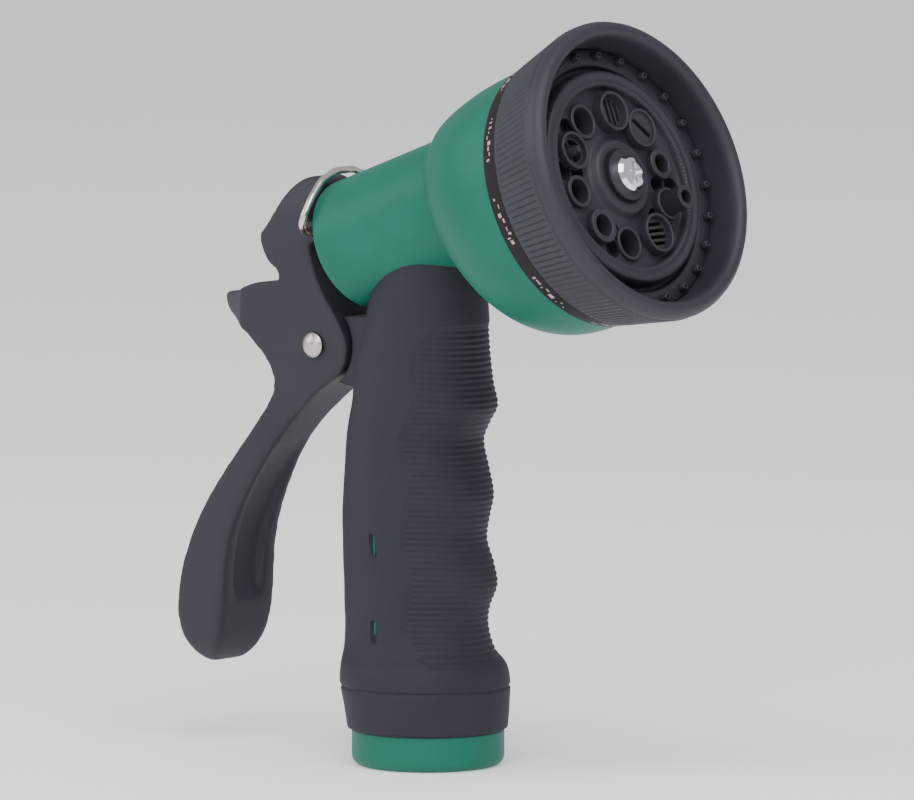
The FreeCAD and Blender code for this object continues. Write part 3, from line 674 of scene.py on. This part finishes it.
def face_plate():
    """Shelf, groove, ribbed island, floor and hub, turned about the dial's axis."""
    profile = [(69.6, HUB_BORE), (69.6, 28.8), (74.2, 28.8), (74.4, 28.6), (74.4, 25.4), (74.2, 25.1),
               (73.8, 25.0), (73.0, 24.9), (72.8, 24.7), (72.8, 24.1), (73.0, 23.8), (73.6, 23.65),
               (75.6, 23.5), (76.2, 23.3), (76.5, 22.9), (76.5, 22.3), (76.15, 21.9), (76.1, 21.3),
               (76.4, 20.9), (76.35, 20.4), (75.9, 20.05), (75.2, 19.9), (FACE_FLOOR + 0.2, 19.75),
               (FACE_FLOOR, 19.5), (FACE_FLOOR, 9.4), (FACE_FLOOR + 0.2, 9.0), (75.0, 8.6), (75.8, 8.2),
               (76.3, 7.8), (76.4, 7.4), (76.4, 6.2), (76.2, 6.0), (76.2, HUB_BORE)]
    return add_mesh("spray_face_moulding", *dial_lathe(profile, 480, island_wave), 50)


def face_holes():
    """Cutters for the outlets' bores and for the dark pockets between some outlets."""
    cutters = []
    for index, (_, inner, _) in enumerate(COLLARS):
        y, z = outlet_at(index)
        cutters.append(pit(y, z, inner, BORE_BOTTOM))
    for index in POCKETS_AFTER:
        turn = radians(OUTLET_START + OUTLET_STEP * (index + 0.5))
        for circle, radius, bottom in POCKETS:
            cutters.append(pit(circle * sin(turn), circle * cos(turn), radius, bottom))
    return cutters


def make_collars():
    """Raised rims round the outlets, and the shower nipples on the shelf."""
    base = FACE_FLOOR - 0.6
    parts = []
    for index, (outer, inner, front) in enumerate(COLLARS):
        y, z = outlet_at(index)
        ring = rounded([(base, outer), (front, outer), (front, inner), (base, inner)], 0.45)
        parts.append(spot_lathe(y, z, ring, 48))
    for k in range(NIPPLES):
        turn = 2 * pi * (k + 0.5) / NIPPLES
        ring = rounded([(74.1, 1.0), (76.1, 0.75), (76.1, 0.3), (74.1, 0.3)], 0.2, 2)
        parts.append(spot_lathe(NIPPLE_CIRCLE * sin(turn), NIPPLE_CIRCLE * cos(turn), ring, 16))
    points, faces = joined(parts)
    piece(add_mesh("outlet_collars", points, faces, 50), "dial", "dial_black")


def make_spray_face():
    """Dial's front plate, with its holes and raised rims."""
    plate = face_plate()
    cut_away(plate, face_holes())
    piece(plate, "dial", "dial_black", "spray_face")
    make_collars()


# ---- stage, light and camera --------------------------------------------------------------------
def pale(name, value):
    """Nearly white floor that stays pale under the soft light."""
    material, tree_nodes, links = node_tree(name)
    shader = tree_nodes["Principled BSDF"]
    coordinates = tree_nodes.new("ShaderNodeTexCoord").outputs["Object"]
    broad = noise(tree_nodes, links, coordinates, 3)
    mix = tree_nodes.new("ShaderNodeMix")
    mix.data_type = "RGBA"
    mix.inputs["A"].default_value = (value, value, value, 1)
    mix.inputs["B"].default_value = (value + 0.02, value + 0.02, value + 0.02, 1)
    links.new(broad, mix.inputs["Factor"])
    links.new(mix.outputs["Result"], shader.inputs["Base Color"])
    shader.inputs["Roughness"].default_value = 0.7
    shader.inputs["Emission Color"].default_value = (1, 1, 1, 1)
    shader.inputs["Emission Strength"].default_value = 0.35
    return material


def make_stage():
    """Plain floor, eight metres square."""
    half = 4.0
    corners = [(-half, -half, 0), (half, -half, 0), (half, half, 0), (-half, half, 0)]
    floor = add_mesh("floor", corners, [(0, 1, 2, 3)])
    floor.data.materials.append(pale("floor_white", 0.86))


def direction(azimuth, elevation):
    """Unit vector from the nozzle towards these angles, in degrees, to its right and up."""
    around, up = radians(azimuth), radians(elevation)
    return Vector((sin(around) * cos(up), -cos(around) * cos(up), sin(up)))


def add_light(name, azimuth, elevation, distance, size, watts):
    """Square soft light aimed at the nozzle's middle."""
    lamp = bpy.data.lights.new(name, "AREA")
    lamp.shape = "SQUARE"
    lamp.size = size
    lamp.energy = watts
    made = bpy.data.objects.new(name, lamp)
    back = direction(azimuth, elevation)
    made.location = Vector((0, 0, 0.08)) + back * distance
    made.rotation_euler = back.to_track_quat("Z", "Y").to_euler()
    bpy.context.scene.collection.objects.link(made)


def make_lights():
    """Pale studio all round, and three soft lights."""
    world = bpy.data.worlds.new("studio")
    world.use_nodes = True
    background = world.node_tree.nodes["Background"]
    background.inputs["Color"].default_value = (0.94, 0.96, 1.0, 1)
    seen = world.node_tree.nodes.new("ShaderNodeLightPath").outputs["Is Camera Ray"]
    strength = world.node_tree.nodes.new("ShaderNodeMapRange")
    strength.inputs["To Min"].default_value = 0.6
    strength.inputs["To Max"].default_value = 1.5
    world.node_tree.links.new(seen, strength.inputs["Value"])
    world.node_tree.links.new(strength.outputs["Result"], background.inputs["Strength"])
    bpy.context.scene.world = world
    add_light("key", 55, 55, distance=1.2, size=0.9, watts=13)
    add_light("front", 20, 20, distance=1.6, size=0.9, watts=6)
    add_light("left", -45, 30, distance=1.4, size=0.8, watts=8)


def make_camera():
    """Camera 40 degrees to the right and 6 degrees up, from far away."""
    back = direction(40, 6)
    aim = Vector((-0.5, 10.3, 78.1)) * MM
    lens = bpy.data.cameras.new("camera")
    lens.lens = 456
    lens.clip_end = 50
    made = bpy.data.objects.new("camera", lens)
    made.location = aim + back * 2.5
    made.rotation_euler = back.to_track_quat("Z", "Y").to_euler()
    bpy.context.scene.collection.objects.link(made)
    bpy.context.scene.camera = made


dress_cad_nodes()
make_neck_bead()
make_grip()
make_springs()
make_trigger()
make_dial_ring()
make_band()
make_spray_face()
make_stage()
make_lights()
make_camera()
